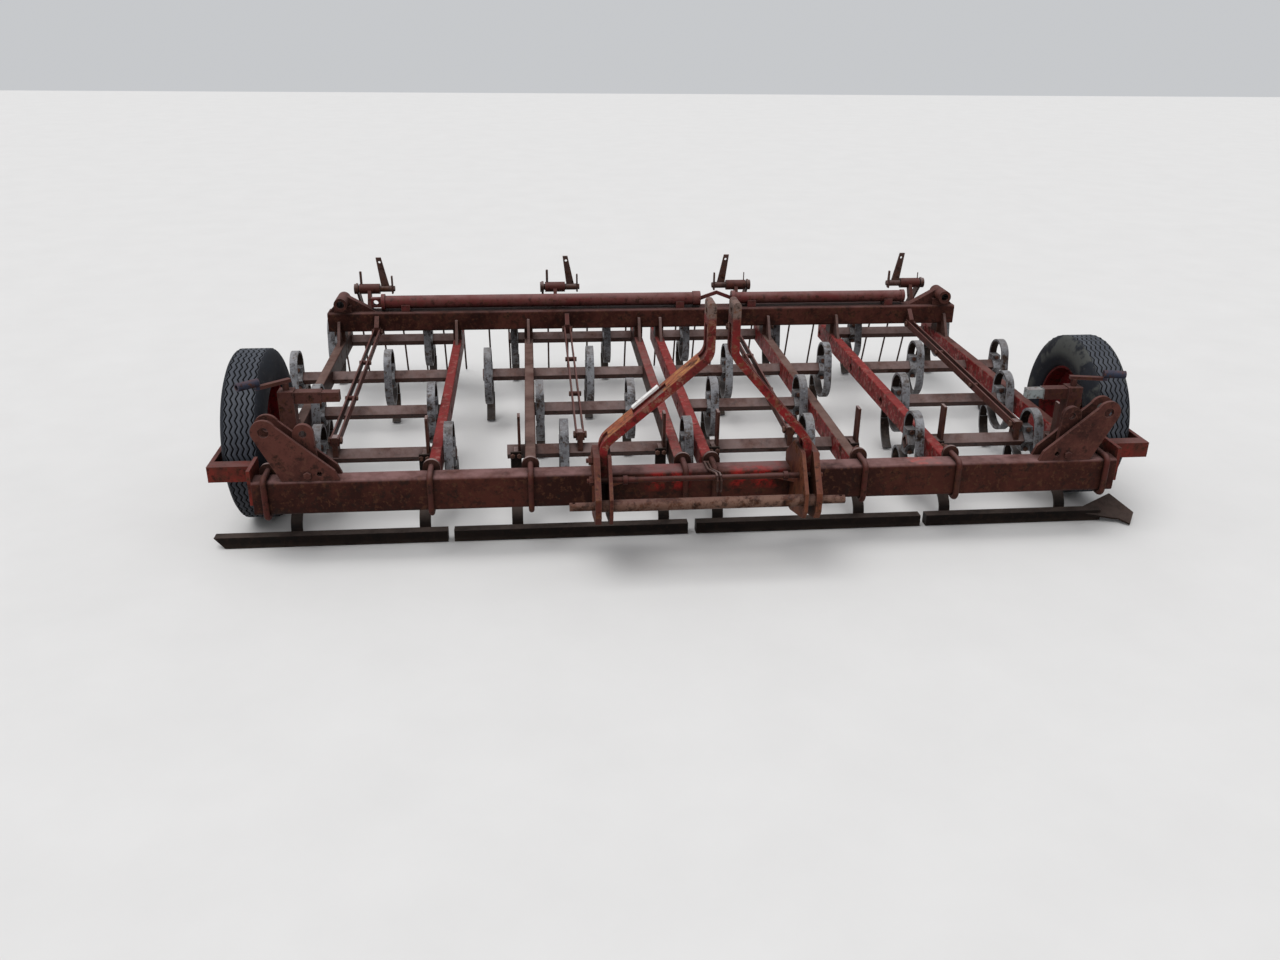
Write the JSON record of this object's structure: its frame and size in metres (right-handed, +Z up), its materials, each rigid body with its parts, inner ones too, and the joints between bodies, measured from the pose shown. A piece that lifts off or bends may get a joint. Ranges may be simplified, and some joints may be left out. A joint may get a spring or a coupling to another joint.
{
  "type": "seedbed harrow",
  "caption": "Three-point mounted spring-tine seedbed harrow centre section with levelling boards, rear rake, fold pivots and depth wheels.",
  "frame": {"origin": "middle of the ground footprint, under the whole machine", "axes": "+X to the right seen from the front (hitch) side, +Y to the rear, +Z up"},
  "size_m": [3.38, 2.3463, 0.925],
  "materials": {
    "beam_paint": "weathered dark red-brown",
    "frame_paint": "faded red, rusted",
    "mast_paint": "faded red with orange rust",
    "rim_paint": "dull red",
    "tine_steel": "worn blue-grey spring steel with rust",
    "rake_steel": "brown rusted wire and tube",
    "board_steel": "nearly black with dried soil",
    "bare_steel": "rusted bare steel",
    "tyre": "worn road tyre"
  },
  "bodies": {
    "frame": {"beam_clamps_left": "bare_steel", "beam_clamps_right": "bare_steel", "board_1": "board_steel", "board_2": "board_steel", "board_3": "board_steel", "board_4": "board_steel", "depth_screw_left": "frame_paint", "depth_screw_right": "frame_paint", "fold_boss_left": "frame_paint", "fold_boss_right": "frame_paint", "fold_lug_left": "frame_paint", "fold_lug_right": "frame_paint", "front_beam": "beam_paint", "hitch_plates_left": "frame_paint", "hitch_plates_right": "frame_paint", "links_left": "frame_paint", "links_right": "frame_paint", "lower_link_bar": "bare_steel", "mast_leg_left": "mast_paint", "mast_leg_right": "mast_paint", "ram_left": "frame_paint", "ram_right": "frame_paint", "section_1": "frame_paint", "section_2": "frame_paint", "section_3": "frame_paint", "section_4": "frame_paint", "stay_rod": "bare_steel", "tines_1": "tine_steel", "tines_2": "tine_steel", "tines_3": "tine_steel", "tines_4": "tine_steel", "upper_beam": "beam_paint", "upper_brackets": "frame_paint", "wheel_arm_left": "frame_paint", "wheel_arm_right": "frame_paint", "wheel_axle_left": "bare_steel", "wheel_axle_right": "bare_steel"},
    "wheel_left": {"tyre_left": "tyre", "rim_left": "rim_paint"},
    "wheel_right": {"tyre_right": "tyre", "rim_right": "rim_paint"},
    "rake_body_1": {"rake_1": "rake_steel"},
    "rake_body_2": {"rake_2": "rake_steel"},
    "rake_body_3": {"rake_3": "rake_steel"},
    "rake_body_4": {"rake_4": "rake_steel"}
  },
  "joints": [
    {"name": "wheel_spin_left", "type": "hinge", "parent": "frame", "child": "wheel_left", "pos_m": [-1.562, -0.488, 0.31], "axis": [1, 0, 0], "continuous": true},
    {"name": "wheel_spin_right", "type": "hinge", "parent": "frame", "child": "wheel_right", "pos_m": [1.562, -0.488, 0.31], "axis": [1, 0, 0], "continuous": true},
    {"name": "rake_1_tilt", "type": "hinge", "parent": "frame", "child": "rake_body_1", "pos_m": [-1.33, 0.897, 0.505], "axis": [1, 0, 0], "range_deg": [0, 25]},
    {"name": "rake_2_tilt", "type": "hinge", "parent": "frame", "child": "rake_body_2", "pos_m": [-0.445, 0.897, 0.505], "axis": [1, 0, 0], "range_deg": [0, 25]},
    {"name": "rake_3_tilt", "type": "hinge", "parent": "frame", "child": "rake_body_3", "pos_m": [0.445, 0.897, 0.505], "axis": [1, 0, 0], "range_deg": [0, 25]},
    {"name": "rake_4_tilt", "type": "hinge", "parent": "frame", "child": "rake_body_4", "pos_m": [1.33, 0.897, 0.505], "axis": [1, 0, 0], "range_deg": [0, 25]}
  ]
}
